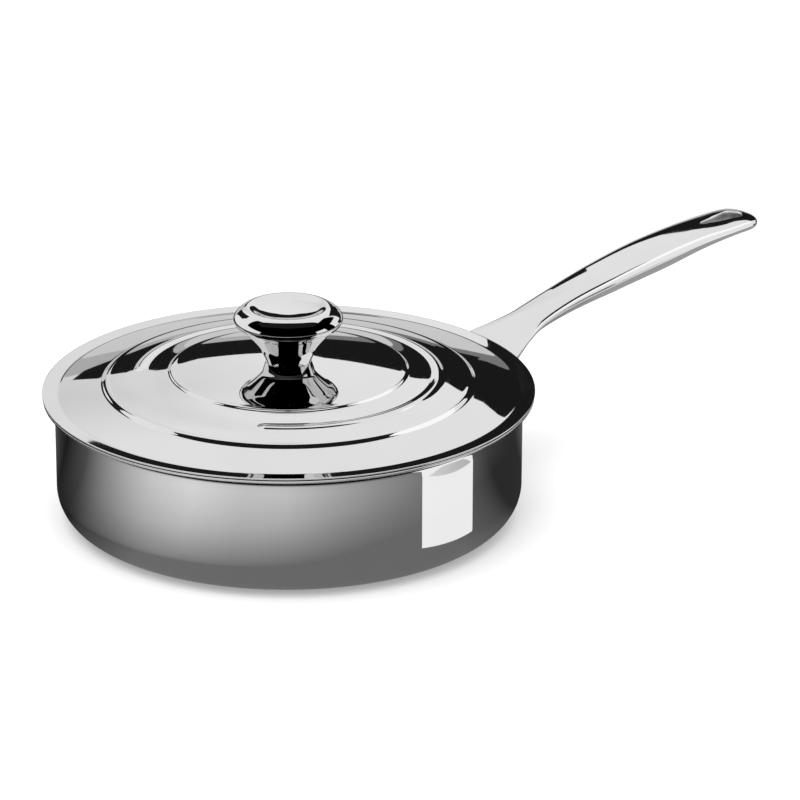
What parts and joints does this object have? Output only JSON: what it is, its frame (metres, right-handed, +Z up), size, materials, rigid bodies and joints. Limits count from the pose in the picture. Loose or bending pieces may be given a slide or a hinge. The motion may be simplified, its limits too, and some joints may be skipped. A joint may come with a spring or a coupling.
{
  "type": "saute pan with lid",
  "caption": "Straight-sided clad saute pan with a flared rim, a long riveted cast handle with a hanging hole, and a stepped pressed lid with a flared knob.",
  "frame": {"origin": "centre of the underside of the pan's base, which is the face that it stands on", "axes": "+Z up along the pan's axis, +X along the handle from the pan to the handle's tip"},
  "size_m": [0.4485, 0.258, 0.1151],
  "materials": {
    "polished_steel": "mirror polished",
    "core_aluminium": "machined edge",
    "satin_steel": "satin, turned",
    "cast_steel": "cast and mirror polished",
    "rivet_steel": "polished",
    "lid_steel": "mirror polished",
    "knob_steel": "mirror polished",
    "fastener_steel": "plain"
  },
  "bodies": {
    "pan": {"pan_outer_ply": "polished_steel", "pan_core_ply": "core_aluminium", "pan_inner_ply": "satin_steel", "handle": "cast_steel", "handle_rivet_1": "rivet_steel", "handle_rivet_2": "rivet_steel", "handle_rivet_3": "rivet_steel"},
    "lid_lifter": {"knob_screw": "fastener_steel"},
    "lid": {"lid_shell": "lid_steel", "lid_knob": "knob_steel", "knob_washer": "fastener_steel"}
  },
  "joints": [
    {"name": "lid_lift", "type": "slide", "parent": "pan", "child": "lid_lifter", "axis": [0, 0, 1], "range_m": [0, 0.12]},
    {"name": "lid_turn", "type": "hinge", "parent": "lid_lifter", "child": "lid", "pos_m": [0, 0, 0.085], "axis": [0, 0, 1], "continuous": true}
  ]
}
